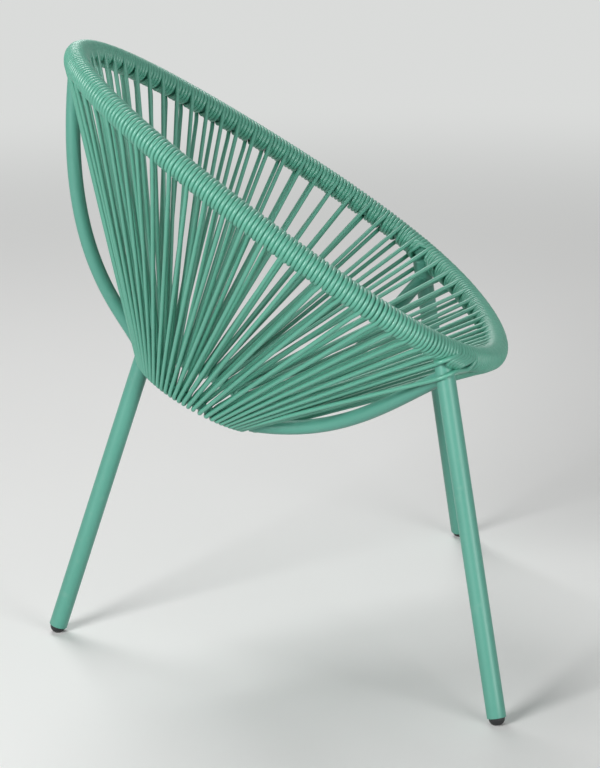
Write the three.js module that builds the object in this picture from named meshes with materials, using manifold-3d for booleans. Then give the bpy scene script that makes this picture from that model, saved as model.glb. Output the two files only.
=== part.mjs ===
// Acapulco lounge chair: a tilted steel hoop wound with round cord and strung to a small hub
// ring, carried by a curved spine, two curved struts and three splayed legs with domed plugs.
// Millimetres, +Z up. The chair faces -Y and the sitter's left is +X. It stands on the floor
// at Z 0, with the origin under its middle.
import * as THREE from "three";
import { mergeVertices } from "three/addons/utils/BufferGeometryUtils.js";
import Module from "manifold-3d";

const wasm = await Module();
wasm.setup();

// Rim: an egg-shaped hoop in a tilted plane, fuller toward the sitter's knees
const rimTubeDiameter = 22;
const rimHalfLength = 346;
const rimHalfWidth = 330;
const rimFullnessShare = 0.208;
const rimCornerShare = 0.082;
const rimTiltDegrees = 35.9;
const rimCentreHeight = 620;

// Hub: the small ring of round rod under the sitter that every cord loops round
const hubRodDiameter = 12;
const hubRadius = 92.8;
const hubTiltDegrees = 30.5;
const hubCentreHeight = 355.7;
const hubCentreBack = 124.6;

// Spine: the tube behind the cords, from the rear of the rim down to the rear of the hub
const spineDiameter = 20;
const spineTopDrop = 301;
const spineTopReach = 43.2;
const spineFootRise = 54.8;
const spineFootReach = 5.8;

// Struts: a tube on each side, from the hub up to the top of a front leg
const strutDiameter = 20;
const strutHubDegrees = 35;
const strutHubSideways = 45.6;
const strutHubForward = 129.9;
const strutHubDrop = 9;
const strutLegInward = 58.4;
const strutLegBack = 66.5;
const strutLegDrop = 46.7;
const strutTopBelowRim = 36;

// Legs: straight tubes, one at the rear and two in front
const legDiameter = 25.4;
const legWall = 1.5;
const legTopBelowCentre = 4;
const frontLegRimShare = 0.145;
const frontLegTopInward = 20;
const frontLegTopDrop = 5.8;
const frontFootOutward = 103.1;
const frontFootAhead = 63.2;
const rearFootBehind = 138.7;

// Foot plugs: domed, pushed into the open end of the leg, with a small flat to stand on
const plugFlatDiameter = 11;
const plugStemLength = 20;
const plugSocketSpare = 4;

// Cord: round, wound on the rim and taken down to the hub and back once in each unit, which
// is a few turns wide: one turn less in the units next to the front
const cordDiameter = 6;
const cordPanels = 12;
const unitsPerPanel = 6;
const turnsPerUnit = 5;
const turnsPerFrontUnit = 4;
const frontUnitsEachSide = 5;
const windingGrooveDepth = 1.6;
const cordClearance = 1;
const rearLoopPitch = 6.15;
const rearLoopsEachSide = 9;

// Gap between pieces that touch
const seamGap = 0.3;

// Facets
const hoopSides = 8;
const rodSides = 8;
const tubeSides = 12;
const legSides = 14;
const cordSides = 4;
const hubSteps = 36;
const spineSteps = 14;
const strutSteps = 10;
const loopSteps = 3;
const domeSteps = 4;

const half = 0.5;
const halfTurn = Math.PI;
const fullTurn = 2 * Math.PI;
const units = cordPanels * unitsPerPanel;
const rimTubeRadius = rimTubeDiameter * half;
const hubRodRadius = hubRodDiameter * half;
const spineRadius = spineDiameter * half;
const strutRadius = strutDiameter * half;
const legRadius = legDiameter * half;
const cordRadius = cordDiameter * half;

const sideways = new THREE.Vector3(1, 0, 0);
const yAxis = new THREE.Vector3(0, 1, 0);

// Steel tube in a satin sea-green powder coat
function powderCoat() {
  return new THREE.MeshStandardMaterial({ color: 0x64ac98, roughness: 0.45, metalness: 0.1 });
}

// Glossy sea-green vinyl cord
function vinylCord() {
  return new THREE.MeshStandardMaterial({ color: 0x76bea8, roughness: 0.3, metalness: 0 });
}

// Black moulded foot plug
function blackPlastic() {
  return new THREE.MeshStandardMaterial({ color: 0x141516, roughness: 0.6, metalness: 0 });
}

const coat = powderCoat();
const vinyl = vinylCord();
const plastic = blackPlastic();

// Forward and down in a plane that is tilted about the sideways axis
function slopeForward(degrees) {
  const tilt = THREE.MathUtils.degToRad(degrees);
  return new THREE.Vector3(0, -Math.cos(tilt), -Math.sin(tilt));
}

// Centre line of the rim: it starts at the front and runs by the sitter's left to the rear
class RimCurve extends THREE.Curve {
  getPoint(share, target = new THREE.Vector3()) {
    const turn = fullTurn * share;
    const along = Math.cos(turn);
    const fullness = 1 + rimFullnessShare * along + rimCornerShare * Math.cos(2 * turn);
    return target
      .set(0, 0, rimCentreHeight)
      .addScaledVector(slopeForward(rimTiltDegrees), rimHalfLength * along)
      .addScaledVector(sideways, rimHalfWidth * Math.sin(turn) * fullness);
  }
}

const rimCurve = new RimCurve();
const rimLength = rimCurve.getLength();
const rimUpward = slopeForward(rimTiltDegrees).cross(sideways);
const hubLength = fullTurn * hubRadius;
const hubCentre = new THREE.Vector3(0, hubCentreBack, hubCentreHeight);

// A place on the rim's centre line, by the distance along it from the front
function rimAt(arc) {
  const share = THREE.MathUtils.euclideanModulo(arc / rimLength, 1);
  return { point: rimCurve.getPointAt(share), tangent: rimCurve.getTangentAt(share) };
}

// A place on the hub's centre line, by the distance along it from the front
function hubAt(arc) {
  const turn = arc / hubRadius;
  const forward = slopeForward(hubTiltDegrees);
  const point = hubCentre
    .clone()
    .addScaledVector(forward, hubRadius * Math.cos(turn))
    .addScaledVector(sideways, hubRadius * Math.sin(turn));
  const tangent = forward.multiplyScalar(-Math.sin(turn)).addScaledVector(sideways, Math.cos(turn));
  return { point, tangent };
}

// Turns on one side of the rim from the front to a unit's start
function turnsFromFront(unit) {
  const inFront = Math.min(unit, frontUnitsEachSide);
  return turnsPerFrontUnit * inFront + turnsPerUnit * (unit - inFront);
}

// Distance along the rim to a unit's start, which can be a part of a unit further on
function unitArc(unit) {
  const pitch = (rimLength * half) / turnsFromFront(units * half);
  const onFirstSide = unit <= units * half;
  const fromFront = pitch * turnsFromFront(onFirstSide ? unit : units - unit);
  return onFirstSide ? fromFront : rimLength - fromFront;
}

// Where the legs, the spine and the struts are welded on, and how much room cords leave there
const legArc = rimLength * frontLegRimShare;
const strutArc = hubRadius * THREE.MathUtils.degToRad(strutHubDegrees);
const cordRoom = cordRadius + cordClearance;
const rimSupports = [
  { arc: legArc, room: legRadius + cordRoom },
  { arc: rimLength * half, room: spineRadius + cordRoom },
  { arc: rimLength - legArc, room: legRadius + cordRoom },
];

// A cord that would start on a support starts beside it
function besideSupports(arc) {
  const support = rimSupports.find((one) => Math.abs(arc - one.arc) < one.room);
  return support ? support.arc + Math.sign(arc - support.arc) * support.room : arc;
}

// The rear loops on the hub lie side by side, and the others share the rest of its free length
// evenly. They skip what is welded to it.
function hubArcOfUnit(unit) {
  const strutRoom = strutRadius + cordRoom;
  const rearRoom = legRadius + cordRoom - rearLoopPitch * half;
  const rearStart = hubLength * half - rearRoom - rearLoopPitch * rearLoopsEachSide;
  const fromFront = Math.min(unit, units - unit);
  const looseLoops = units * half - rearLoopsEachSide;
  const pastLoose = Math.max(fromFront - looseLoops, 0);
  const packed = ((rearStart - 2 * strutRoom) * (fromFront - pastLoose)) / looseLoops;
  const skipped = packed > strutArc - strutRoom ? packed + 2 * strutRoom : packed;
  const arc = skipped + rearLoopPitch * pastLoose;
  return unit < units * half ? arc : hubLength - arc;
}

// A closed geometry as a solid, and a solid as a geometry with flat facets
function toSolid(geometry) {
  const bare = geometry.clone();
  bare.deleteAttribute("normal");
  bare.deleteAttribute("uv");
  const merged = mergeVertices(bare);
  const vertProperties = merged.attributes.position.array;
  const triVerts = new Uint32Array(merged.index.array);
  return new wasm.Manifold(new wasm.Mesh({ numProp: 3, vertProperties, triVerts }));
}

function toGeometry(solid) {
  const mesh = solid.getMesh();
  const geometry = new THREE.BufferGeometry();
  geometry.setAttribute("position", new THREE.BufferAttribute(mesh.vertProperties, mesh.numProp));
  geometry.setIndex(new THREE.BufferAttribute(mesh.triVerts, 1));
  const faceted = geometry.toNonIndexed();
  faceted.computeVertexNormals();
  return faceted;
}

function namedMesh(name, solid, material) {
  const mesh = new THREE.Mesh(toGeometry(solid), material);
  mesh.name = name;
  return mesh;
}

// Radius of a cutter's corners that leaves the seam gap beside a tube's corners
function cutterRadius(radius, sides) {
  return radius + seamGap / Math.cos(halfTurn / sides);
}

// Joins rings of points along a run into one skin: closed on itself, or capped at both ends
function skin(rings, closed) {
  const sides = rings[0].length;
  const joins = closed ? rings.length : rings.length - 1;
  const index = [];
  for (let ring = 0; ring < joins; ring++) {
    const here = ring * sides;
    const next = ((ring + 1) % rings.length) * sides;
    for (let side = 0; side < sides; side++) {
      const beside = (side + 1) % sides;
      index.push(here + side, here + beside, next + beside);
      index.push(here + side, next + beside, next + side);
    }
  }
  const last = joins * sides;
  for (let side = 1; !closed && side < sides - 1; side++) {
    index.push(0, side + 1, side);
    index.push(last, last + side, last + side + 1);
  }
  const geometry = new THREE.BufferGeometry().setFromPoints(rings.flat());
  geometry.setIndex(index);
  return toSolid(geometry);
}

// A ring of points round a place on a run, square to the run
function ringRound(centre, tangent, lead, radius, sides) {
  const across = tangent.clone().cross(lead);
  return Array.from({ length: sides }, (_, i) => {
    const turn = (fullTurn * (i + half)) / sides;
    return centre
      .clone()
      .addScaledVector(lead, radius * Math.cos(turn))
      .addScaledVector(across, radius * Math.sin(turn));
  });
}

function rimRing(arc, radius) {
  const { point, tangent } = rimAt(arc);
  return ringRound(point, tangent, rimUpward, radius, hoopSides);
}

// The rim's steel tube, or a fatter copy of it to cut with
function rimTube(radius) {
  const rings = Array.from({ length: units }, (_, unit) => rimRing(unitArc(unit), radius));
  return skin(rings, true);
}

// The hub's rod bent to a ring, or a fatter copy of it to cut with
function hubRing(radius) {
  const ring = new THREE.TorusGeometry(hubRadius, radius, rodSides, hubSteps);
  ring.rotateX(THREE.MathUtils.degToRad(hubTiltDegrees));
  ring.translate(...hubCentre.toArray());
  return toSolid(ring);
}

function bentTube(curve, radius, steps) {
  const circle = new THREE.EllipseCurve(0, 0, radius, radius, 0, fullTurn);
  const section = new THREE.Shape(circle.getPoints(tubeSides).slice(1));
  return toSolid(new THREE.ExtrudeGeometry(section, { extrudePath: curve, steps }));
}

// Straight round bar from one point to another
function barBetween(from, to, radius, sides) {
  const axis = to.clone().sub(from);
  const bar = new THREE.CylinderGeometry(radius, radius, axis.length(), sides);
  bar.applyQuaternion(new THREE.Quaternion().setFromUnitVectors(yAxis, axis.normalize()));
  bar.translate(...from.clone().lerp(to, half).toArray());
  return toSolid(bar);
}

const rimCutter = rimTube(cutterRadius(rimTubeRadius, hoopSides));
const hubCutter = hubRing(cutterRadius(hubRodRadius, rodSides));

// The three legs, each with the place by the rim or on the hub that it holds up. A front leg
// meets the rim from its inner side, so that the cord can wind past it.
function legPlan(name, foot, end, saddleCutter) {
  const axis = end.clone().sub(foot).normalize();
  const top = end.clone().addScaledVector(axis, -legTopBelowCentre);
  return { name, foot, end, axis, top, saddleCutter };
}

function frontLegPlan(name, side) {
  const onRim = rimAt(side * legArc).point;
  const end = onRim.clone().add(new THREE.Vector3(-side * frontLegTopInward, 0, -frontLegTopDrop));
  const foot = onRim.add(new THREE.Vector3(side * frontFootOutward, -frontFootAhead, 0));
  return legPlan(name, foot.setZ(0), end, rimCutter);
}

function rearLegPlan() {
  const end = hubAt(hubLength * half).point;
  const foot = end.clone().add(new THREE.Vector3(0, rearFootBehind, 0));
  return legPlan("rear", foot.setZ(0), end, hubCutter);
}

const leftLeg = frontLegPlan("front_left", 1);
const rightLeg = frontLegPlan("front_right", -1);
const rearLeg = rearLegPlan();

// A fatter copy of a leg, to cut what is welded to it or wound beside it
function legCutter(plan, top) {
  return barBetween(plan.foot, top, cutterRadius(legRadius, legSides), legSides);
}

// A plug fills the leg's bore, and its dome stands this far out of it, down to a small flat
const plugRadius = legRadius - legWall - seamGap;
const domeHeight = Math.sqrt(plugRadius ** 2 - (plugFlatDiameter * half) ** 2);

// Leg tube about its foot, open below for the plug and hollowed above to sit on a round bar
function legTube(plan) {
  const along = (distance) => plan.axis.clone().multiplyScalar(distance);
  const mouth = domeHeight / plan.axis.z;
  const end = plan.top.clone().sub(plan.foot);
  const socket = barBetween(
    along(0),
    along(mouth + plugStemLength + plugSocketSpare),
    legRadius - legWall,
    legSides,
  );
  const saddle = plan.saddleCutter.translate(plan.foot.clone().negate().toArray());
  return barBetween(along(mouth), end, legRadius, legSides).subtract(socket).subtract(saddle);
}

// Foot plug about the same point: a dome below, and a stem up inside the leg
function footPlug(plan) {
  const dome = new THREE.EllipseCurve(0, 0, plugRadius, plugRadius, -halfTurn * half, 0);
  const outline = dome.getPoints(domeSteps);
  outline[0].x = 0;
  outline.push(new THREE.Vector2(plugRadius, plugStemLength));
  outline.push(new THREE.Vector2(0, plugStemLength));
  const turned = new THREE.LatheGeometry(outline, legSides);
  turned.applyQuaternion(new THREE.Quaternion().setFromUnitVectors(yAxis, plan.axis));
  turned.translate(...plan.axis.clone().multiplyScalar(domeHeight / plan.axis.z).toArray());
  const below = new THREE.BoxGeometry(2 * legDiameter, 2 * legDiameter, legDiameter);
  below.translate(0, 0, -legRadius);
  return toSolid(turned).subtract(toSolid(below));
}

function legGroup(plan) {
  const group = new THREE.Group();
  group.position.copy(plan.foot);
  group.add(namedMesh(plan.name + "_leg", legTube(plan), coat));
  group.add(namedMesh(plan.name + "_foot_plug", footPlug(plan), plastic));
  return group;
}

// Spine: nearly upright at both ends, bulging back behind the sitter
function spineCurve() {
  const top = rimAt(rimLength * half).point;
  const foot = hubAt(hubLength * half).point;
  return new THREE.CubicBezierCurve3(
    top,
    top.clone().add(new THREE.Vector3(0, spineTopReach, -spineTopDrop)),
    foot.clone().add(new THREE.Vector3(0, spineFootReach, spineFootRise)),
    foot,
  );
}

function spine() {
  return bentTube(spineCurve(), spineRadius, spineSteps)
    .subtract(rimCutter)
    .subtract(hubCutter)
    .subtract(legCutter(rearLeg, rearLeg.top.clone().addScaledVector(rearLeg.axis, seamGap)));
}

// Strut on one side: side is 1 for the sitter's left and -1 for the right
function strutCurve(side, plan) {
  const low = hubAt(side * strutArc).point;
  const high = plan.end.clone().addScaledVector(plan.axis, -strutTopBelowRim);
  return new THREE.CubicBezierCurve3(
    low,
    low.clone().add(new THREE.Vector3(side * strutHubSideways, -strutHubForward, -strutHubDrop)),
    high.clone().add(new THREE.Vector3(-side * strutLegInward, strutLegBack, -strutLegDrop)),
    high,
  );
}

function strut(side, plan) {
  return bentTube(strutCurve(side, plan), strutRadius, strutSteps)
    .subtract(hubCutter)
    .subtract(legCutter(plan, plan.end));
}

// One panel of the winding: a sleeve on the rim tube, with a groove where each cord leaves it
function windingSleeve(panel) {
  const crest = rimTubeRadius + seamGap + cordDiameter;
  const first = panel * unitsPerPanel;
  const outside = [];
  const bore = [];
  for (let step = 0; step <= unitsPerPanel; step++) {
    const inset = seamGap * half * (Number(step === 0) - Number(step === unitsPerPanel));
    const arc = unitArc(first + step) + inset;
    outside.push(rimRing(arc, crest));
    bore.unshift(rimRing(arc, cutterRadius(rimTubeRadius, hoopSides)));
    if (step < unitsPerPanel) {
      outside.push(rimRing(unitArc(first + step + half), crest - windingGrooveDepth));
    }
  }
  return skin([...outside, ...bore], true);
}

// A run that would meet a front leg bends round the face of the leg that lies on its side
function bendsPastLegs(from, to) {
  const heading = to.clone().sub(from).normalize();
  return [leftLeg, rightLeg].flatMap(({ foot, axis, end }) => {
    const apart = from.clone().sub(foot);
    const across = heading.clone().cross(axis);
    const slant = heading.dot(axis);
    const alongLeg = (apart.dot(axis) - slant * apart.dot(heading)) / across.lengthSq();
    const alongRun = (slant * apart.dot(axis) - apart.dot(heading)) / across.lengthSq();
    const beside = apart.dot(across.normalize());
    const room = legRadius + cordRoom;
    const reach = foot.distanceTo(end) + room;
    const meets = alongRun > 0 && alongLeg < reach && Math.abs(beside) < room;
    const bend = foot.clone().addScaledVector(axis, alongLeg);
    return meets ? [bend.addScaledVector(across, Math.sign(beside) * room)] : [];
  });
}

// Route of one unit's cord: from the rim's outer side to the hub, round its rod, and back up to
// the rim's inner side
function cordRoute(unit) {
  const middle = unitArc(unit + half);
  const seat = rimTubeRadius + seamGap + cordRadius;
  const loopRadius = (hubRodRadius + seamGap + cordRadius) / Math.cos(halfTurn / (2 * loopSteps));
  const hub = hubAt(hubArcOfUnit(unit + half));
  const down = hub.point.clone().sub(rimAt(middle).point);
  const outward = down.clone().cross(hub.tangent).normalize();
  const under = hub.tangent.clone().cross(outward);
  const loop = Array.from({ length: loopSteps + 1 }, (_, i) => {
    const turn = (halfTurn * i) / loopSteps;
    return hub.point
      .clone()
      .addScaledVector(outward, loopRadius * Math.cos(turn))
      .addScaledVector(under, loopRadius * Math.sin(turn));
  });
  const rimEnd = (side) => {
    const { point, tangent } = rimAt(besideSupports(middle - side * cordRadius));
    return point.addScaledVector(down.clone().cross(tangent).normalize(), side * seat);
  };
  const [start, finish] = [rimEnd(1), rimEnd(-1)];
  const wayDown = bendsPastLegs(start, loop[0]);
  const wayUp = bendsPastLegs(finish, loop[loopSteps]);
  return { points: [start, ...wayDown, ...loop, ...wayUp, finish], crosswise: hub.tangent };
}

// Round cord along straight runs, mitred where they meet
function cordAlong({ points, crosswise }) {
  const heading = (i) => points[i + 1].clone().sub(points[i]).normalize();
  const rings = points.map((point, i) => {
    const before = heading(Math.max(i - 1, 0));
    const after = heading(Math.min(i, points.length - 2));
    const mitre = before.clone().add(after);
    const lead = crosswise.clone().projectOnPlane(before).normalize();
    return ringRound(point, before, lead, cordRadius, cordSides).map((corner) => {
      const slide = point.clone().sub(corner).dot(mitre) / before.dot(mitre);
      return corner.addScaledVector(before, slide);
    });
  });
  return skin(rings, false);
}

// A panel is a stretch of the one cord: its winding on the rim with its runs to the hub and back
function cordPanel(panel) {
  const first = panel * unitsPerPanel;
  const runs = Array.from({ length: unitsPerPanel }, (_, i) => cordAlong(cordRoute(first + i)));
  return runs
    .reduce((solid, run) => solid.add(run), windingSleeve(panel))
    .subtract(legCutter(leftLeg, leftLeg.end))
    .subtract(legCutter(rightLeg, rightLeg.end))
    .subtract(bentTube(spineCurve(), cutterRadius(spineRadius, tubeSides), spineSteps));
}

const frame = new THREE.Group();
frame.add(namedMesh("rim_tube", rimTube(rimTubeRadius), coat));
frame.add(namedMesh("hub_ring", hubRing(hubRodRadius), coat));
frame.add(namedMesh("spine", spine(), coat));
frame.add(namedMesh("strut_left", strut(1, leftLeg), coat));
frame.add(namedMesh("strut_right", strut(-1, rightLeg), coat));
frame.add(...[leftLeg, rightLeg, rearLeg].map(legGroup));

const cords = new THREE.Group();
for (let panel = 0; panel < cordPanels; panel++) {
  const number = String(panel + 1).padStart(2, "0");
  cords.add(namedMesh("cord_panel_" + number, cordPanel(panel), vinyl));
}

const chair = new THREE.Group();
chair.add(frame, cords);
const middle = new THREE.Box3().setFromObject(chair, true).getCenter(new THREE.Vector3());
chair.position.set(-middle.x, -middle.y, 0);

export default chair;
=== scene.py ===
# %% [markdown]
# # A lounge chair strung with vinyl cord
# The chair is a welded steel frame that carries one long round cord. The cord is wound on an
# egg-shaped hoop, and every few turns it runs down to a small ring under the sitter and back,
# so that the straight runs make an open bowl. The solid model gives the sizes, and this scene
# dresses it: each solid is replaced by a finer piece in the same place.

import math
import random

import bmesh
import bpy
import numpy as np
from mathutils import Matrix, Vector


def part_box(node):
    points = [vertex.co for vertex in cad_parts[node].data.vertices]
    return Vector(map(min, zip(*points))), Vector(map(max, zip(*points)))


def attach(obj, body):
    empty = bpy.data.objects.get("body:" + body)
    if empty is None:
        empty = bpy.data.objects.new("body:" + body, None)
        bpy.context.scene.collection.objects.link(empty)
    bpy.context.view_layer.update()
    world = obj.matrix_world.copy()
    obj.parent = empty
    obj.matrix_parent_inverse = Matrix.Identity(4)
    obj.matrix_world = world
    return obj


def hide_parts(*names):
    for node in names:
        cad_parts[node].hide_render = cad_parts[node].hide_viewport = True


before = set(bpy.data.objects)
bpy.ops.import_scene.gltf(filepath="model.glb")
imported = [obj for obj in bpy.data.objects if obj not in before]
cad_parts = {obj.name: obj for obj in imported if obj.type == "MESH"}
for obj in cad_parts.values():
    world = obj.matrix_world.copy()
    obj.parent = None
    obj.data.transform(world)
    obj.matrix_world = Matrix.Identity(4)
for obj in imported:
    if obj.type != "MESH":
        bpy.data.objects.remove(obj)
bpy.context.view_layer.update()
MM = 0.001
print("nodes in the frame:", len(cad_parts))

# %% [markdown]
# ## Measuring helpers
# The chair faces along -Y and its left side is at +X. Two of its parts lie in planes that
# slope down toward the front, and most others are placed by how far along a line they are, so
# a few small functions measure boxes, slopes and lines.

# %% Boxes, slopes and lines
SIDEWAYS = np.array([1.0, 0.0, 0.0])


def middle_of(node):
    low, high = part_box(node)
    return (np.array(low) + np.array(high)) / 2


def slope_forward(tilt):
    """The direction that leads forward and down in a plane with this tilt."""
    return np.array([0.0, -math.cos(tilt), -math.sin(tilt)])


def unit(vectors):
    return vectors / np.linalg.norm(vectors, axis=-1, keepdims=True)


def distances_along(points):
    steps = np.linalg.norm(np.diff(points, axis=0), axis=1)
    return np.concatenate([[0], np.cumsum(steps)])


print("the middle of the hub ring:", middle_of("hub_ring").round(3))

# %% [markdown]
# ## The hoop
# The hoop is a flat loop in a tilted plane: a stretched circle, fuller in front. The middle of
# the solid hoop's box is its centre, so the scene follows the model wherever it stands. The
# loop is measured along its own length, because the cord is laid out that way.

# %% Centre line of the hoop
RIM_HALF_LENGTH = 346 * MM
RIM_HALF_WIDTH = 330 * MM
RIM_FULLNESS = 0.208
RIM_CORNER = 0.082
RIM_TILT = math.radians(35.9)
RIM_TUBE_RADIUS = 11 * MM
RIM_STEPS = 3600
RIM_CENTRE = middle_of("rim_tube")
hoop_angles = np.linspace(0, 2 * math.pi, RIM_STEPS + 1)
along = np.cos(hoop_angles)
fullness = 1 + RIM_FULLNESS * along + RIM_CORNER * np.cos(2 * hoop_angles)
rim_line = (
    RIM_CENTRE
    + np.outer(RIM_HALF_LENGTH * along, slope_forward(RIM_TILT))
    + np.outer(RIM_HALF_WIDTH * np.sin(hoop_angles) * fullness, SIDEWAYS)
)
rim_arcs = distances_along(rim_line)
RIM_LENGTH = rim_arcs[-1]


def rim_points(arcs):
    wrapped = np.mod(arcs, RIM_LENGTH)
    return np.stack([np.interp(wrapped, rim_arcs, rim_line[:, i]) for i in range(3)], axis=-1)


def rim_tangents(arcs):
    step = 1 * MM
    return unit(rim_points(arcs + step) - rim_points(arcs - step))


print("hoop length %.3f m" % RIM_LENGTH)

# %% [markdown]
# ## The hub
# The hub is a ring of round rod in a second tilted plane, a little flatter than the hoop's. It
# is a true circle, so a place on it is an angle times its radius.

# %% Centre line of the hub
HUB_RADIUS = 92.8 * MM
HUB_ROD_RADIUS = 6 * MM
HUB_TILT = math.radians(30.5)
HUB_CENTRE = middle_of("hub_ring")
HUB_LENGTH = 2 * math.pi * HUB_RADIUS


def hub_points(arcs):
    angle = np.asarray(arcs) / HUB_RADIUS
    forward = np.multiply.outer(HUB_RADIUS * np.cos(angle), slope_forward(HUB_TILT))
    return HUB_CENTRE + forward + np.multiply.outer(HUB_RADIUS * np.sin(angle), SIDEWAYS)


def hub_tangents(arcs):
    angle = np.asarray(arcs) / HUB_RADIUS
    forward = np.multiply.outer(-np.sin(angle), slope_forward(HUB_TILT))
    return forward + np.multiply.outer(np.cos(angle), SIDEWAYS)


print("hub length %.3f m" % HUB_LENGTH)

# %% [markdown]
# ## Where the legs run
# Three straight legs are splayed for a firm stand. Each front leg meets the hoop from below,
# a little inside it, and the rear leg meets the back of the hub.

# %% Ends of the legs
LEG_RADIUS = 12.7 * MM
LEG_RIM_SHARE = 0.145
LEG_ARC = RIM_LENGTH * LEG_RIM_SHARE
LEG_TOP_FROM_RIM = np.array([-20, 0, -5.8]) * MM
FRONT_FOOT_FROM_RIM = np.array([103.1, -63.2, 0]) * MM
REAR_FOOT_FROM_HUB = np.array([0, 138.7, 0]) * MM
HUB_REAR = hub_points(HUB_LENGTH / 2)


def mirrored(point, side):
    return np.asarray(point) * np.array([side, 1.0, 1.0])


def on_floor(point):
    return np.asarray(point) * np.array([1.0, 1.0, 0.0])


left_leg = (
    on_floor(rim_points(LEG_ARC) + FRONT_FOOT_FROM_RIM),
    rim_points(LEG_ARC) + LEG_TOP_FROM_RIM,
)
leg_ends = {
    "front_left": left_leg,
    "front_right": tuple(mirrored(end, -1) for end in left_leg),
    "rear": (on_floor(HUB_REAR + REAR_FOOT_FROM_HUB), HUB_REAR),
}
leg_axes = {name: unit(top - foot) for name, (foot, top) in leg_ends.items()}
for name, (foot, top) in leg_ends.items():
    print("%s leg: %.3f m" % (name, np.linalg.norm(top - foot)))

# %% [markdown]
# ## Where the spine and the struts run
# The spine runs behind the cords from the back of the hoop to the back of the hub, and a strut
# runs from the hub to the top of each front leg. Both are bent on a former into one easy
# sweep, which a cubic curve with two handles draws well.

# %% Lines of the spine and the struts
SPINE_RADIUS = 10 * MM
SPINE_RIM_HANDLE = np.array([0, 43.2, -301]) * MM
SPINE_HUB_HANDLE = np.array([0, 5.8, 54.8]) * MM
STRUT_RADIUS = 10 * MM
STRUT_HUB_ANGLE = math.radians(35)
STRUT_ARC = HUB_RADIUS * STRUT_HUB_ANGLE
STRUT_BELOW_RIM = 36 * MM
STRUT_HUB_HANDLE = np.array([45.6, -129.9, -9]) * MM
STRUT_LEG_HANDLE = np.array([-58.4, 66.5, -46.7]) * MM
SWEEP_POINTS = 80


def sweep_points(start, start_handle, end_handle, end):
    t = np.linspace(0, 1, SWEEP_POINTS)[:, None]
    handles = (start, start + start_handle, end + end_handle, end)
    weights = ((1 - t) ** 3, 3 * t * (1 - t) ** 2, 3 * t**2 * (1 - t), t**3)
    return sum(weight * handle for weight, handle in zip(weights, handles))


def strut_line(side):
    high = leg_ends["front_left"][1] - leg_axes["front_left"] * STRUT_BELOW_RIM
    line = sweep_points(hub_points(STRUT_ARC), STRUT_HUB_HANDLE, STRUT_LEG_HANDLE, high)
    return mirrored(line, side)


spine_top = rim_points(RIM_LENGTH / 2)
spine_line = sweep_points(spine_top, SPINE_RIM_HANDLE, SPINE_HUB_HANDLE, HUB_REAR)
print("spine %.3f m" % distances_along(spine_line)[-1])
print("strut %.3f m" % distances_along(strut_line(1))[-1])

# %% [markdown]
# ## The place attribute
# Some finishes have a grain that follows the piece, however it is bent. So every tube carries
# an attribute: two of its numbers go round the section, and the third is the distance along
# the tube in metres. The points of a tube's mesh come ring by ring, which makes it easy to
# fill in.

# %% Place along a tube
def write_place(mesh, points, sides, radius, start):
    """Writes the place attribute, and returns the distance at which the piece ends."""
    lengths = start + distances_along(points)
    rings = len(points)
    place = np.zeros((len(mesh.vertices), 3))
    angle = 2 * math.pi * np.arange(sides) / sides
    ring = np.stack([np.cos(angle), np.sin(angle)], axis=1) * radius
    place[: rings * sides, :2] = np.tile(ring, (rings, 1))
    place[: rings * sides, 2] = np.repeat(lengths, sides)
    place[rings * sides :, 2] = lengths[-1]
    attribute = mesh.attributes.new("place", "FLOAT_VECTOR", "POINT")
    attribute.data.foreach_set("vector", place.ravel())
    return lengths[-1]


print("numbers in a place: 2 round the tube and 1 along it")

# %% [markdown]
# ## Tubes along a line
# A bent tube and a cord are both a round section that follows a line. Blender's curve object
# does that well: it turns the section as little as it can along the way, so nothing twists.
# The curve is then turned into a mesh.

# %% Round tubes
scene = bpy.context.scene


def add_object(name, mesh):
    piece = bpy.data.objects.new(name, mesh)
    scene.collection.objects.link(piece)
    return piece


def bevel_steps(sides):
    """A round bevel has four sides, and two more for each step of its resolution."""
    return (sides - 4) // 2


def tube_along(name, points, radius, sides, closed=False, radii=None, start=0.0):
    """A round tube, and how far along the piece it ends."""
    curve = bpy.data.curves.new(name, "CURVE")
    curve.dimensions = "3D"
    curve.bevel_depth = radius
    curve.bevel_resolution = bevel_steps(sides)
    curve.use_fill_caps = not closed
    spline = curve.splines.new("POLY")
    spline.points.add(len(points) - 1)
    spline.points.foreach_set("co", np.column_stack([points, np.ones(len(points))]).ravel())
    if radii is not None:
        spline.points.foreach_set("radius", np.asarray(radii))
    spline.use_cyclic_u = closed
    holder = add_object(name + "_line", curve)
    shown = holder.evaluated_get(bpy.context.evaluated_depsgraph_get())
    mesh = bpy.data.meshes.new_from_object(shown)
    bpy.data.objects.remove(holder)
    bpy.data.curves.remove(curve)
    mesh.name = name
    mesh.polygons.foreach_set("use_smooth", [True] * len(mesh.polygons))
    end = write_place(mesh, points, sides, radius, start)
    return add_object(name, mesh), end


print("bevel steps of a tube with 32 sides:", bevel_steps(32))

# %% [markdown]
# ## Finished pieces
# A finished piece is given its material and put on the body that it moves with, and the
# solids that it stands for are hidden. The chair has no joints, so every piece is on the one
# body.

# %% Finishing a piece
def finish_piece(piece, nodes, material):
    piece.data.materials.clear()
    piece.data.materials.append(material)
    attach(piece, "root")
    if nodes:
        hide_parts(*nodes)


# %% [markdown]
# ## Shader maths
# A small class wraps a node's output and overloads the operators, so that a finish can be
# written as sums and products. Each operator adds one Math node.

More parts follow.
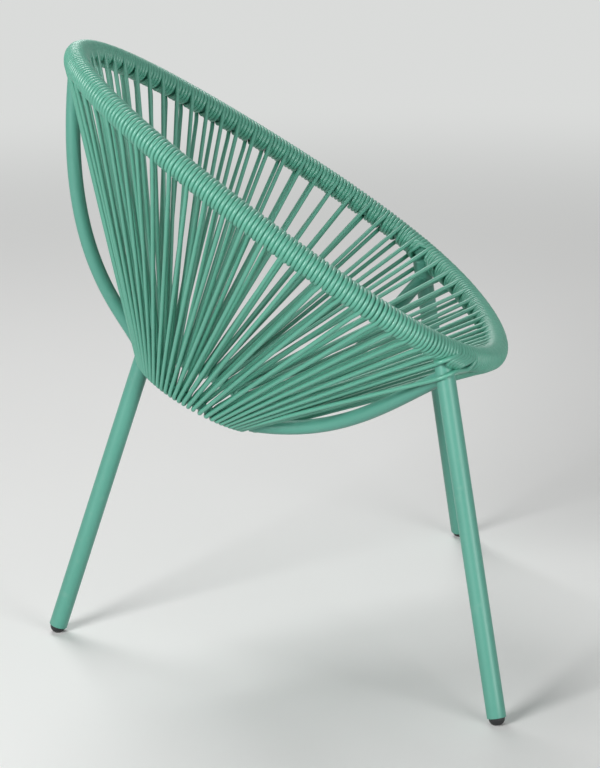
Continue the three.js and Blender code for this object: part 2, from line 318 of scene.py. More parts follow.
# %% Sums of sockets
class Wire:
    def __init__(self, finish, socket):
        self.finish = finish
        self.socket = socket

    def maths(self, operation, first, second):
        return self.finish.node("ShaderNodeMath", {"operation": operation}, {0: first, 1: second})

    def __add__(self, other):
        return self.maths("ADD", self, other)

    def __sub__(self, other):
        return self.maths("SUBTRACT", self, other)

    def __rsub__(self, other):
        return self.maths("SUBTRACT", other, self)

    def __mul__(self, other):
        return self.maths("MULTIPLY", self, other)

    __radd__ = __add__
    __rmul__ = __mul__


print("operators on a wire: +, - and *")

# %% [markdown]
# ## Finishes
# A finish is the node tree of a material or of the world. Every node comes from one method
# that takes the node's type, its settings and its inputs. The other methods give names to the
# nodes and sockets that this chair's finishes use most.

# %% Nodes of a finish
class Finish:
    def __init__(self, owner, shader="Principled BSDF"):
        owner.use_nodes = True
        self.tree = owner.node_tree
        self.shader = self.tree.nodes[shader]

    def plug(self, socket, value):
        if isinstance(value, Wire):
            self.tree.links.new(value.socket, socket)
        else:
            socket.default_value = value

    def node(self, kind, settings=None, inputs=None, output=0):
        made = self.tree.nodes.new(kind)
        for setting, value in (settings or {}).items():
            setattr(made, setting, value)
        for key, value in (inputs or {}).items():
            self.plug(made.inputs[key], value)
        return Wire(self, made.outputs[output])

    def ramp(self, factor, low, high):
        settings = {"interpolation_type": "SMOOTHSTEP"}
        inputs = {"Value": factor, "From Min": low, "From Max": high}
        return self.node("ShaderNodeMapRange", settings, inputs)

    def mix(self, factor, first, second):
        """Two colours mixed. A Mix node's colours are its inputs 6 and 7 and its output 2."""
        inputs = {0: factor, 6: first, 7: second}
        return self.node("ShaderNodeMix", {"data_type": "RGBA"}, inputs, 2)

    def noise(self, vector, scale, detail, stretch=(1, 1, 1)):
        settings = {"vector_type": "POINT"}
        squeezed = self.node("ShaderNodeMapping", settings, {"Vector": vector, "Scale": stretch})
        inputs = {"Vector": squeezed, "Scale": scale, "Detail": detail}
        return self.node("ShaderNodeTexNoise", {}, inputs)

    def coordinates(self):
        return self.node("ShaderNodeTexCoord", output="Object")

    def attribute(self, name):
        return self.node("ShaderNodeAttribute", {"attribute_name": name}, output="Vector")

    def surface(self, **inputs):
        for key, value in inputs.items():
            self.plug(self.shader.inputs[key.replace("_", " ")], value)

    def bump(self, height, strength, distance):
        inputs = {"Height": height, "Strength": strength, "Distance": distance}
        self.plug(self.shader.inputs["Normal"], self.node("ShaderNodeBump", {}, inputs))


print("kinds of node with a name of their own: ramp, mix, noise, coordinates, attribute, bump")

# %% [markdown]
# ## Colours
# A colour is easiest to choose as a screen shows it, from 0 to 255. Shaders work in linear
# light, so one function turns the first into the second.

# %% Screen colours
def srgb(red, green, blue):
    """A colour as a screen shows it, in the linear light that shaders work in."""

    def linear(value):
        share = value / 255
        return share / 12.92 if share <= 0.04045 else ((share + 0.055) / 1.055) ** 2.4

    return (linear(red), linear(green), linear(blue), 1.0)


print("middle grey in linear light: %.3f" % srgb(128, 128, 128)[0])

# %% [markdown]
# ## Powder coat
# The frame is sprayed with a powder that melts into a satin skin. It is never quite flat: it
# dries with a fine orange peel, is a little thinner and lighter in places, and picks up faint
# dust. Noise in several sizes gives these, and only the orange peel is bump.

# %% Powder coat finish
COAT_DEEP = srgb(86, 157, 139)
COAT_PALE = srgb(95, 165, 147)
COAT_SPECK = srgb(70, 146, 127)
COAT_DUST = srgb(188, 196, 186)
SPECKS_SHOW = 0.2
DUST_SHOWS = 0.08
COAT_ROUGHNESS = 0.33
PATCH_ROUGHNESS = 0.1
DUST_ROUGHNESS = 0.12
PEEL_DEPTH = 0.12 * MM
powder_coat = bpy.data.materials.new("powder_coat")
coat = Finish(powder_coat)
coat_place = coat.coordinates()
patches = coat.noise(coat_place, scale=9.0, detail=3.0)
specks = coat.ramp(coat.noise(coat_place, scale=900.0, detail=1.0), 0.62, 0.75)
dust = coat.ramp(coat.noise(coat_place, scale=60.0, detail=4.0), 0.55, 0.8)
peel = coat.noise(coat_place, scale=420.0, detail=2.0)
coat_body = coat.mix(patches, COAT_DEEP, COAT_PALE)
coat_speckled = coat.mix(specks * SPECKS_SHOW, coat_body, COAT_SPECK)
coat.surface(
    Base_Color=coat.mix(dust * DUST_SHOWS, coat_speckled, COAT_DUST),
    Roughness=patches * PATCH_ROUGHNESS + dust * DUST_ROUGHNESS + COAT_ROUGHNESS,
    Specular_IOR_Level=0.5,
)
coat.bump(peel, strength=0.25, distance=PEEL_DEPTH)
print("powder coat nodes:", len(coat.tree.nodes))

# %% [markdown]
# ## Vinyl cord
# The cord is extruded, so what marks it runs along it: faint die lines, and slow changes of
# shade where a batch was mixed unevenly. It shines more than the coat, and hands and rain
# leave duller patches. The streaks follow the place attribute, stretched along the cord, and
# the duller patches follow the chair, because they come from use.

# %% Vinyl cord finish
VINYL_DEEP = srgb(80, 160, 136)
VINYL_PALE = srgb(94, 173, 150)
VINYL_LINE = srgb(52, 126, 104)
VINYL_SCUFF = srgb(168, 214, 198)
LINES_SHOW = 0.12
SCUFFS_SHOW = 0.1
VINYL_ROUGHNESS = 0.4
HANDLED_ROUGHNESS = 0.1
SCUFF_ROUGHNESS = 0.12
LINE_DEPTH = 0.08 * MM
LONG_LINES = (1, 1, 0.02)
LONG_SHADES = (0.2, 0.2, 1)
LONG_SCUFFS = (1, 1, 0.5)
vinyl_cord = bpy.data.materials.new("vinyl_cord")
vinyl = Finish(vinyl_cord)
on_cord = vinyl.attribute("place")
on_chair = vinyl.coordinates()
die_lines = vinyl.noise(on_cord, scale=900.0, detail=2.0, stretch=LONG_LINES)
batch_shade = vinyl.noise(on_cord, scale=5.0, detail=2.0, stretch=LONG_SHADES)
handled = vinyl.ramp(vinyl.noise(on_chair, scale=14.0, detail=3.0), 0.45, 0.7)
scuffs = vinyl.ramp(vinyl.noise(on_cord, scale=220.0, detail=3.0, stretch=LONG_SCUFFS), 0.68, 0.8)
vinyl_body = vinyl.mix(batch_shade, VINYL_DEEP, VINYL_PALE)
vinyl_lined = vinyl.mix(vinyl.ramp(die_lines, 0.4, 0.75) * LINES_SHOW, vinyl_body, VINYL_LINE)
vinyl.surface(
    Base_Color=vinyl.mix(scuffs * SCUFFS_SHOW, vinyl_lined, VINYL_SCUFF),
    Roughness=handled * HANDLED_ROUGHNESS + scuffs * SCUFF_ROUGHNESS + VINYL_ROUGHNESS,
    Specular_IOR_Level=1.0,
)
vinyl.bump(die_lines, strength=0.15, distance=LINE_DEPTH)
print("vinyl nodes:", len(vinyl.tree.nodes))

# %% [markdown]
# ## Foot plug plastic
# The plugs are moulded black plastic with a fine eroded texture. Standing on the ground has
# scuffed their undersides grey, so the wear grows toward the floor.

# %% Foot plug finish
PLUG_DARK = srgb(26, 27, 29)
PLUG_GREY = srgb(36, 37, 39)
PLUG_WORN = srgb(92, 90, 86)
WEAR_SHOWS = 0.6
PLUG_ROUGHNESS = 0.45
GRAIN_ROUGHNESS = 0.15
WEAR_ROUGHNESS = 0.2
WEAR_HEIGHT = 5 * MM
GRAIN_DEPTH = 0.1 * MM
plug_plastic = bpy.data.materials.new("foot_plug_plastic")
plug = Finish(plug_plastic)
plug_place = plug.coordinates()
plug_height = plug.node("ShaderNodeSeparateXYZ", {}, {"Vector": plug_place}, "Z")
grain = plug.noise(plug_place, scale=1500.0, detail=2.0)
rubbed = plug.ramp(plug.noise(plug_place, scale=300.0, detail=4.0), 0.4, 0.65)
wear = (1 - plug.ramp(plug_height, 0.0, WEAR_HEIGHT)) * rubbed
plug_body = plug.mix(grain, PLUG_DARK, PLUG_GREY)
plug.surface(
    Base_Color=plug.mix(wear * WEAR_SHOWS, plug_body, PLUG_WORN),
    Roughness=grain * GRAIN_ROUGHNESS + wear * WEAR_ROUGHNESS + PLUG_ROUGHNESS,
)
plug.bump(grain, strength=0.4, distance=GRAIN_DEPTH)
print("plug nodes:", len(plug.tree.nodes))

# %% [markdown]
# ## Frame tubes
# The hoop and the hub ring are closed loops, and the spine and struts are bent tubes. Each
# runs a little into what it is welded to.

# %% Hoop, hub ring, spine and struts
RIM_RINGS = 360
HUB_RINGS = 144
HOOP_SIDES = 32
ROD_SIDES = 24
BENT_SIDES = 40


def frame_tube(name, node, points, radius, sides, closed=False):
    piece, _ = tube_along(name, points, radius, sides, closed)
    finish_piece(piece, [node], powder_coat)


around_rim = rim_points(np.linspace(0, RIM_LENGTH, RIM_RINGS + 1)[:-1])
around_hub = hub_points(np.linspace(0, HUB_LENGTH, HUB_RINGS + 1)[:-1])
frame_tube("rim_hoop", "rim_tube", around_rim, RIM_TUBE_RADIUS, HOOP_SIDES, True)
frame_tube("hub_hoop", "hub_ring", around_hub, HUB_ROD_RADIUS, ROD_SIDES, True)
frame_tube("back_spine", "spine", spine_line, SPINE_RADIUS, BENT_SIDES)
for side_name, side in (("left", 1), ("right", -1)):
    node = "strut_" + side_name
    frame_tube("seat_strut_" + side_name, node, strut_line(side), STRUT_RADIUS, BENT_SIDES)
print("rings in the hoop and the hub:", len(around_rim), len(around_hub))

# %% [markdown]
# ## Turned shapes
# A leg and its plug are both round, so each is half an outline spun round the leg's axis and
# then leaned over. Edges that turn sharply stay crisp, and the rest is shaded smooth.

# %% Spinning an outline
SPIN_STEPS = 64
MERGE_WITHIN = 0.01 * MM
CRISP_FROM = math.radians(40)


def turned(name, outline, foot, axis):
    shape = bmesh.new()
    corners = [shape.verts.new((radius, 0, height)) for radius, height in outline]
    edges = [shape.edges.new(pair) for pair in zip(corners, corners[1:])]
    bmesh.ops.spin(
        shape,
        geom=corners + edges,
        cent=(0, 0, 0),
        axis=(0, 0, 1),
        angle=2 * math.pi,
        steps=SPIN_STEPS,
        use_merge=True,
    )
    bmesh.ops.remove_doubles(shape, verts=shape.verts, dist=MERGE_WITHIN)
    bmesh.ops.recalc_face_normals(shape, faces=shape.faces)
    lean = Vector((0, 0, 1)).rotation_difference(Vector(axis)).to_matrix().to_4x4()
    bmesh.ops.transform(shape, matrix=Matrix.Translation(Vector(foot)) @ lean, verts=shape.verts)
    mesh = bpy.data.meshes.new(name)
    shape.to_mesh(mesh)
    shape.free()
    mesh.polygons.foreach_set("use_smooth", [True] * len(mesh.polygons))
    mesh.set_sharp_from_angle(angle=CRISP_FROM)
    return add_object(name, mesh)


def arc_outline(centre_radius, centre_height, radius, start, end, count):
    """Points of an arc from one angle to another, in degrees, as radius and height."""
    angles = np.radians(np.linspace(start, end, count))
    across = [centre_radius + radius * math.cos(angle) for angle in angles]
    upward = [centre_height + radius * math.sin(angle) for angle in angles]
    return list(zip(across, upward))


print("spin steps:", SPIN_STEPS)

# %% [markdown]
# ## Legs and foot plugs
# A leg is a length of tube: its wall shows at the lower end, round the plug. The lip of the
# tube is rounded, as a deburred and coated edge is. The plug is a dome with a small flat,
# pushed up into the tube, and the tube ends a dome's height above the floor.

# %% Legs and foot plugs
LEG_WALL = 1.5 * MM
LEG_BORE = LEG_RADIUS - LEG_WALL
LEG_BORE_DEPTH = 26 * MM
LEG_TOP_BELOW_END = 4 * MM
LIP_POINTS = 9
WALL_SHARES = np.linspace(0.05, 1, 12)
PLUG_GAP = 0.3 * MM
PLUG_FLAT_RADIUS = 5.5 * MM
PLUG_DEPTH = 20 * MM
PLUG_RADIUS = LEG_BORE - PLUG_GAP
DOME_POINTS = 14
DOME_HEIGHT = math.sqrt(PLUG_RADIUS**2 - PLUG_FLAT_RADIUS**2)
DOME_START = -90 + math.degrees(math.asin(PLUG_FLAT_RADIUS / PLUG_RADIUS))


def leg_outline(mouth, length):
    """Half a leg's section: the end of its bore, the bore, the lip, the wall and the top."""
    lip = LEG_WALL / 2
    bore_end = mouth + LEG_BORE_DEPTH
    rounded = arc_outline(LEG_BORE + lip, mouth + lip, lip, 180, 360, LIP_POINTS)
    wall = [(LEG_RADIUS, mouth + share * (length - mouth)) for share in WALL_SHARES]
    return [(0, bore_end), (LEG_BORE, bore_end), *rounded, *wall, (0, length)]


def plug_outline(mouth):
    """Half a plug's section: the flat that it stands on, the dome and the part in the leg."""
    dome = arc_outline(0, mouth, PLUG_RADIUS, DOME_START, 0, DOME_POINTS)
    plug_end = mouth + PLUG_DEPTH
    return [(0, mouth - DOME_HEIGHT), *dome, (PLUG_RADIUS, plug_end), (0, plug_end)]


for name, (foot, top) in leg_ends.items():
    axis = leg_axes[name]
    length = float(np.linalg.norm(top - foot)) - LEG_TOP_BELOW_END
    mouth = DOME_HEIGHT / axis[2]
    leg_piece = turned(name + "_tube_leg", leg_outline(mouth, length), foot, axis)
    finish_piece(leg_piece, [name + "_leg"], powder_coat)
    plug_piece = turned(name + "_domed_plug", plug_outline(mouth), foot, axis)
    finish_piece(plug_piece, [name + "_foot_plug"], plug_plastic)
print("legs and plugs:", len(leg_ends))

# %% [markdown]
# ## The cord along the hoop
# The cord is laid in units, counted from the front and round by the chair's left. A unit is
# five turns wide, and four next to the front, and in the middle of each the cord leaves for
# the hub and comes back in a loop.

# %% Units along the hoop
CORD_RADIUS = 3 * MM
TURN_PITCH = 2 * CORD_RADIUS
PANELS = 12
UNITS_PER_PANEL = 6
UNITS = PANELS * UNITS_PER_PANEL
TURNS_IN_UNIT = 5
TURNS_IN_FRONT_UNIT = 4
FRONT_UNITS = 5


def turns_from_front(unit_count):
    in_front = min(unit_count, FRONT_UNITS)
    return TURNS_IN_FRONT_UNIT * in_front + TURNS_IN_UNIT * (unit_count - in_front)


def unit_arc(place):
    """Where a place in units lies along the hoop."""
    whole, rest = divmod(place, UNITS)
    pitch = RIM_LENGTH / 2 / turns_from_front(UNITS / 2)
    first_side = rest <= UNITS / 2
    arc = pitch * turns_from_front(rest if first_side else UNITS - rest)
    return whole * RIM_LENGTH + (arc if first_side else RIM_LENGTH - arc)


print("room for a turn: %.2f mm" % (RIM_LENGTH / 2 / turns_from_front(UNITS / 2) / MM))

# %% [markdown]
# ## The cord along the hub
# The loops share the free length of the hub. At the back they lie side by side, and in front
# they lie looser. Where the rear leg, the spine or a strut is welded on, the cords lie beside
# it.

# %% Loops on the hub
CORD_ROOM = CORD_RADIUS + 1 * MM
REAR_LOOP_PITCH = 6.15 * MM
REAR_LOOPS = 9
LOOSE_LOOPS = UNITS / 2 - REAR_LOOPS
STRUT_ROOM = STRUT_RADIUS + CORD_ROOM
REAR_ROOM = LEG_RADIUS + CORD_ROOM - REAR_LOOP_PITCH / 2
REAR_START = HUB_LENGTH / 2 - REAR_ROOM - REAR_LOOP_PITCH * REAR_LOOPS


def hub_arc_of(place):
    """Where a place in units lies along the hub."""
    whole, rest = divmod(place, UNITS)
    from_front = min(rest, UNITS - rest)
    past_loose = max(from_front - LOOSE_LOOPS, 0)
    packed = (REAR_START - 2 * STRUT_ROOM) * (from_front - past_loose) / LOOSE_LOOPS
    skipped = packed + 2 * STRUT_ROOM if packed > STRUT_ARC - STRUT_ROOM else packed
    arc = skipped + REAR_LOOP_PITCH * past_loose
    return whole * HUB_LENGTH + (arc if rest < UNITS / 2 else HUB_LENGTH - arc)


print("loose loops take %.1f mm of the hub on each side" % (REAR_START / MM))

# %% [markdown]
# ## Loops behind the right leg
# Hand work isn't even. Behind the right front leg the loops were drawn rearward along the
# hoop: they lie closer together there, and a wide bundle of turns is left at the leg. On the
# hub the same loops crept forward. Both shifts are counted in units, and grow and fade
# smoothly.

# %% Loops drawn rearward and crept forward
LEG_UNITS = 9.5
DRAWN_UNITS = 1.15
DRAWN_FADE = 6.5
LEG_FADE = 2
CREPT_UNITS = 1.0
CREPT_START = 8.5
CREPT_FADE = 3.5


def smooth(share):
    share = min(max(share, 0.0), 1.0)
    return share * share * (3 - 2 * share)


def drawn_back(units):
    """How far the loop at so many units from the front is drawn along the hoop."""
    past_leg = smooth((LEG_UNITS - units) / LEG_FADE)
    return DRAWN_UNITS * smooth((LEG_UNITS + DRAWN_FADE - units) / DRAWN_FADE) * (1 - past_leg)


def crept_forward(units):
    """How far the loop at so many units from the front crept along the hub."""
    packed = min(units / (LEG_UNITS - 1), 1.0)
    return -CREPT_UNITS * smooth((LEG_UNITS + CREPT_START - units) / CREPT_FADE) * packed


def shifted(place, shift):
    """A place in units, moved away from the front by a shift on the chair's right alone."""
    rest = place % UNITS
    return place - shift(UNITS - rest) if rest > UNITS / 2 else place


def loop_arc(k):
    return unit_arc(shifted(k + 0.5, drawn_back))


def loop_hub_arc(k):
    return hub_arc_of(shifted(k + 0.5, crept_forward))


loops = np.arange(-2, UNITS + 3)
loop_arcs = np.array([loop_arc(k) for k in loops])
loop_hub_arcs = np.array([loop_hub_arc(k) for k in loops])
print("between loops: %.1f to %.1f mm" % tuple(np.sort(np.diff(loop_arcs))[[0, -1]] / MM))

# %% [markdown]
# ## Directions round the hoop
# A turn is a circle round the hoop's tube that creeps along it. Its angle is counted from the
# chair's outer side, down and under toward the inner side, so each place on the hoop needs
# three directions: along the tube, outward, and toward the hub.

# %% Directions at a place on the hoop
WRAP_RADIUS = RIM_TUBE_RADIUS + CORD_RADIUS


def section_axes(arcs):
    """Points on the hoop, and there the directions along it, outward and hubward."""
    points = rim_points(arcs)
    to_hub = hub_points(np.interp(arcs, loop_arcs, loop_hub_arcs)) - points
    tangents = rim_tangents(arcs)
    outward = unit(np.cross(to_hub, tangents))
    return points, tangents, outward, np.cross(tangents, outward)


print("hubward at the front:", section_axes(np.array([0.0]))[3].round(2))

# %% [markdown]
# ## Bars that part the turns
# Under a leg or the spine the turns part: they are pushed to both sides, closer together than
# they lie elsewhere, so every other one rides up on its neighbours. How far they move is
# worked out from the bar's shadow on the circle that the turns follow.

# %% Supports under the hoop
PARTED_REACH = 42 * MM
STACKED_LIFT = 3.5 * MM
SUPPORT_GAP = 0.3 * MM
BAR_END_FADE = 4 * MM
NEARBY_ANGLES = np.radians(range(-24, 25, 8))


class Support:
    """A round bar that holds the hoop and parts the turns under it."""

    def __init__(self, arc, radius, end, away):
        points, tangents, outward, hubward = section_axes(np.array([arc]))
        frame_axes = np.array([tangents[0], outward[0], hubward[0]])
        self.arc = arc
        self.room = radius + CORD_RADIUS + SUPPORT_GAP
        self.offset = frame_axes @ (end - points[0])
        self.away = frame_axes @ away
        # The angle round the hoop to which the bar leads, and where it meets the turns there.
        self.angle = math.atan2(self.away[2], self.away[1])
        self.middle = self.blocked(np.array([self.angle]), WRAP_RADIUS)[0][0]

    def blocked(self, angles, radius):
        """Middle and half width of the bar's shadow on the turns, along the hoop."""
        out = radius * np.cos(angles) - self.offset[1]
        down = radius * np.sin(angles) - self.offset[2]
        below = out * self.away[1] + down * self.away[2]
        slant = 1 - self.away[0] ** 2
        shift = self.away[0] * below / slant
        gap = out**2 + down**2 - below**2
        half = np.sqrt(np.clip((self.room**2 - gap) / slant + shift**2, 0, None))
        reached = np.clip((below + BAR_END_FADE) / (2 * BAR_END_FADE), 0, 1)
        return self.offset[0] + shift, half * reached

    def part(self, arcs, angles, radius):
        """How far the turns slide along the hoop and how far they are lifted."""
        nearby = [self.blocked(angles + angle, radius) for angle in NEARBY_ANGLES]
        middle = np.mean([pair[0] for pair in nearby], axis=0)
        half = np.mean([pair[1] for pair in nearby], axis=0)
        # Each turn past the bar has a number, and goes to one side of the bar as a whole.
        turned_by = (angles - self.angle + math.pi) / (2 * math.pi)
        number = np.floor(turned_by)
        offset = arcs - self.arc - self.middle
        passing = offset + TURN_PITCH * (0.5 - (turned_by - number))
        side = np.where(passing > 0, 1.0, -1.0)
        edge = np.clip(half + side * np.where(half > 0, middle - self.middle, 0), 0, None)
        fade = np.clip(1 - np.abs(passing) / PARTED_REACH, 0, 1)
        crowd = np.clip(edge / self.room, 0, 1) * fade
        return side * edge * fade, crowd * (number % 2) * STACKED_LIFT


def front_support(name, arc):
    return Support(arc, LEG_RADIUS, leg_ends[name][1], -leg_axes[name])


supports = [
    front_support("front_left", LEG_ARC),
    Support(RIM_LENGTH / 2, SPINE_RADIUS, spine_top, unit(spine_line[1] - spine_top)),
    front_support("front_right", RIM_LENGTH - LEG_ARC),
]
print("middle of the parting at each support:", [round(s.middle / MM, 1) for s in supports])

# %% [markdown]
# ## Turns on the hoop
# The turns are worked out as angles and places along the hoop, and the supports then push
# them aside. A turn can also be asked to creep along the hoop or to hang off it.

# %% Place of a turn round the hoop
def wrap_points(arcs, angles, radius, crept, hung):
    """Points of the cord's middle, from its places along the hoop and angles round it."""
    points, tangents, outward, hubward = section_axes(arcs + crept)
    slide = np.zeros(len(arcs))
    lift = hung
    for support in supports:
        moved, raised = support.part(arcs, angles, radius)
        slide = slide + moved
        lift = lift + raised
    circle = np.cos(angles)[:, None] * outward + np.sin(angles)[:, None] * hubward
    return points + tangents * slide[:, None] + (radius + lift)[:, None] * circle


print("turns lie %.1f mm from the hoop's middle" % (WRAP_RADIUS / MM))

# %% [markdown]
# ## Stretches of a loop
# A run to the hub is straight under tension, with a slight bow of its own, and it bends gently
# where it leaves a turn. So short eased pieces join the straight and the round ones. The bows
# are drawn at random from a fixed seed, so each run of the script gives the same cord.

# %% Eased and straight stretches
random.seed(7)
LEAVE_LENGTH = 24 * MM
LEAVE_POINTS = 9
ARRIVE_LENGTH = 14 * MM
ARRIVE_POINTS = 7
BOW = 0.9 * MM
BOW_POINTS = 9


def eased(start, start_heading, end, end_heading, count):
    t = np.linspace(0, 1, count)[:, None]
    span = np.linalg.norm(end - start)
    return (
        (2 * t**3 - 3 * t**2 + 1) * start
        + (t**3 - 2 * t**2 + t) * span * start_heading
        + (3 * t**2 - 2 * t**3) * end
        + (t**3 - t**2) * span * end_heading
    )


def straight_run(start, start_heading, end, end_heading):
    heading = unit(end - start)
    length = np.linalg.norm(end - start)
    leave = start + heading * min(LEAVE_LENGTH, length / 4)
    arrive = end - heading * min(ARRIVE_LENGTH, length / 4)
    bow = np.array([random.uniform(-1, 1) for _ in range(3)]) * BOW
    t = np.linspace(0, 1, BOW_POINTS)[1:-1, None]
    middle = leave + (arrive - leave) * t + bow * np.sin(math.pi * t)
    first = eased(start, start_heading, leave, heading, LEAVE_POINTS)
    last = eased(arrive, heading, end, end_heading, ARRIVE_POINTS)
    return np.concatenate([first, middle, last])


print("points in a straight run:", LEAVE_POINTS + BOW_POINTS - 2 + ARRIVE_POINTS)

# %% [markdown]
# ## Cords that pass round a leg
# Just below the hoop, two cords cross the outer face of the right front leg, one above the
# other, and one crosses the left leg's. Each leaves its last turn a little early and lies on
# the leg at three points, given by how far they are below the leg's end and by their angle
# from its outer face toward the rear. Beside both front legs some cords cut into the leg, into
# the hoop's tube or into each other.

# %% Points round a leg
LEG_GAP = 0.2 * MM
TIGHT_DROPS = (19 * MM, 21 * MM, 24 * MM)
UPPER_DROPS = (11.5 * MM, 14.5 * MM, 18.5 * MM)
LOWER_DROPS = (32 * MM, 34.5 * MM, 38 * MM)
TIGHT_ANGLES = (-0.3, 0.2, 0.75)
WIDE_ANGLES = (-1.0, -0.3, 0.75)
PASSING_LOOPS = {
    10: {"leg": "front_left", "drops": TIGHT_DROPS, "angles": TIGHT_ANGLES, "early_steps": 4},
    62: {"leg": "front_right", "drops": UPPER_DROPS, "angles": WIDE_ANGLES, "early_steps": 4},
    63: {"leg": "front_right", "drops": LOWER_DROPS, "angles": WIDE_ANGLES, "early_steps": 2},
}


def round_leg(leg, drops, angles):
    end, axis = leg_ends[leg][1], leg_axes[leg]
    side = math.copysign(1.0, end[0])
    out = unit(side * SIDEWAYS - axis * (side * SIDEWAYS @ axis))
    rear = np.cross(axis, out) * side
    reach = LEG_RADIUS + CORD_RADIUS + LEG_GAP
    return [
        end - axis * drop + reach * (math.cos(angle) * out + math.sin(angle) * rear)
        for drop, angle in zip(drops, angles)
    ]


def through(points, first_heading):
    """A smooth line up to the last point but one, with that point and the heading there."""
    headings = [first_heading]
    headings += [unit(after - before) for before, after in zip(points, points[2:])]
    pieces = [
        eased(points[i], headings[i], points[i + 1], headings[i + 1], LEAVE_POINTS)[:-1]
        for i in range(len(points) - 2)
    ]
    return np.concatenate(pieces), points[-2], headings[-1]


print("loops that pass round a leg:", sorted(PASSING_LOOPS))

# %% [markdown]
# ## One loop
# A loop goes down from the end of one turn, half round the hub's rod from its outer side to
# its inner side, and up to the start of the next turn.

# %% Loop from the hoop to the hub and back
LOOP_RADIUS = HUB_ROD_RADIUS + CORD_RADIUS
LOOP_POINTS = 15
HUB_UNEVENNESS = 0.2 * MM


def hub_loop(k, start, start_heading, end, end_heading):
    arc = loop_hub_arc(k) + random.uniform(-1, 1) * HUB_UNEVENNESS
    centre = hub_points(arc)
    tangent = hub_tangents(arc)
    outward = unit(np.cross(centre - (start + end) / 2, tangent))
    under = np.cross(tangent, outward)
    turn = np.linspace(0, math.pi, LOOP_POINTS)[:, None]
    bend = centre + LOOP_RADIUS * (np.cos(turn) * outward + np.sin(turn) * under)
    way = []
    if k in PASSING_LOOPS:
        passing = PASSING_LOOPS[k]
        touched = round_leg(passing["leg"], passing["drops"], passing["angles"])
        passed, start, start_heading = through([start, *touched, bend[0]], start_heading)
        way = [passed]
    going = straight_run(start, start_heading, bend[0], under)
    coming = straight_run(bend[-1], -under, end, end_heading)
    return np.concatenate([*way, going, bend[1:-1], coming])


print("loops:", UNITS)

# %% [markdown]
# ## Turns between two loops
# The turns between two loops are a bundle. They lie side by side and are a little uneven. In
# one bundle, beside the right leg, there is one turn fewer than would fit, and the turns hang
# down and rearward between the two cords that pass round the leg. They hang most toward the
# chair's outer side.

# %% One bundle of turns
STEPS_PER_TURN = 24
UNEVENNESS = 0.12 * MM
RADIUS_WAVE = 3
PLACE_WAVE = 2.3
HUNG_BUNDLE = 62
HUNG_SLIDES = (20 * MM, 26 * MM)
HUNG_DROPS = (6 * MM, 5 * MM)
HUNG_ANGLE = math.radians(-8)
HUNG_REACH = math.radians(68)
HUNG_FADE = 0.8 * math.pi


def hung_share(k, angle):
    """How far each point of a bundle hangs, from 0 to 1."""
    if k != HUNG_BUNDLE:
        return np.zeros(len(angle))
    aside = np.mod(angle - HUNG_ANGLE + math.pi, 2 * math.pi) - math.pi
    inside = np.minimum(angle - angle[0], angle[-1] - angle) / HUNG_FADE
    return np.clip(1 - (aside / HUNG_REACH) ** 2, 0, 1) ** 2 * np.clip(inside, 0, 1)


def bundle(k):
    """The turns from loop k to the next one."""
    start = loop_arc(k)
    width = loop_arc(k + 1) - start
    passes = round(width / TURN_PITCH) - (k == HUNG_BUNDLE)
    steps = int(STEPS_PER_TURN * (passes - 0.5))
    angle = math.pi + np.linspace(0, 2 * math.pi * (passes - 0.5), steps + 1)
    passed = (angle - math.pi) / (2 * math.pi) + 0.25
    wobble = random.uniform(0, 6)
    radius = WRAP_RADIUS + UNEVENNESS * np.sin(angle / RADIUS_WAVE + wobble)
    arcs = start + width / passes * passed + UNEVENNESS * np.sin(angle / PLACE_WAVE + wobble)
    hung = hung_share(k, angle)
    crept = -hung * np.interp(passed / passes, [0, 1], HUNG_SLIDES)
    drop = hung * np.interp(passed / passes, [0, 1], HUNG_DROPS)
    return wrap_points(arcs, angle, radius, crept, drop)


bundles = [bundle(k) for k in range(-1, UNITS)]
bundles[0] = bundles[-1]
print("points in the bundles:", sum(len(turns) for turns in bundles[1:]))

# %% [markdown]
# ## The whole cord, in panels
# The route goes from bundle to bundle: the turns between two loops, then the loop. The list
# of bundles starts with the one before the first loop, which is also the last one of all. The
# route is cut into twelve panels at the middle of a bundle, where the solid model's panels
# meet, so that no mesh grows too large. The ends of neighbouring panels touch face to face.

# %% Route of each panel
def panel_route(first):
    """The cord from the middle of the bundle before a loop to the middle of one further on."""
    parts = [bundles[first][len(bundles[first]) // 2 :]]
    for k in range(first, first + UNITS_PER_PANEL):
        after = bundles[k + 1]
        if k in PASSING_LOOPS:
            parts[-1] = parts[-1][: -PASSING_LOOPS[k]["early_steps"]]
        before = parts[-1]
        leaving = unit(before[-1] - before[-2])
        arriving = unit(after[1] - after[0])
        loop = hub_loop(k, before[-1], leaving, after[0], arriving)
        ends_here = k + 1 == first + UNITS_PER_PANEL
        parts += [loop[1:-1], after[: len(after) // 2 + 1] if ends_here else after]
    return np.concatenate(parts)


routes = [panel_route(panel * UNITS_PER_PANEL) for panel in range(PANELS)]
print("route points:", sum(len(route) for route in routes))

# %% [markdown]
# ## Cord panels
# Each route becomes a round tube, and the place attribute runs on from one panel to the next,
# so that the cord's streaks go through. The distance at the end is the cord's whole length.

# %% The cord's pieces
CORD_SIDES = 12
cord_length = 0.0
for number, route in enumerate(routes, start=1):
    name = "cord_run_%02d" % number
    piece, cord_length = tube_along(name, route, CORD_RADIUS, CORD_SIDES, start=cord_length)
    finish_piece(piece, ["cord_panel_%02d" % number], vinyl_cord)
print("cord length %.1f m" % cord_length)

# %% [markdown]
# ## Welds
# The tubes are welded all round where they meet, and the coat is sprayed over the bead. A bead
# is a thin lumpy ring along the line where two round tubes cross. That line is found by
# following the smaller tube's wall until it reaches the larger tube's wall. Beads are made only
# between the struts and the front legs. The joints at the hub and under the hoop have none.

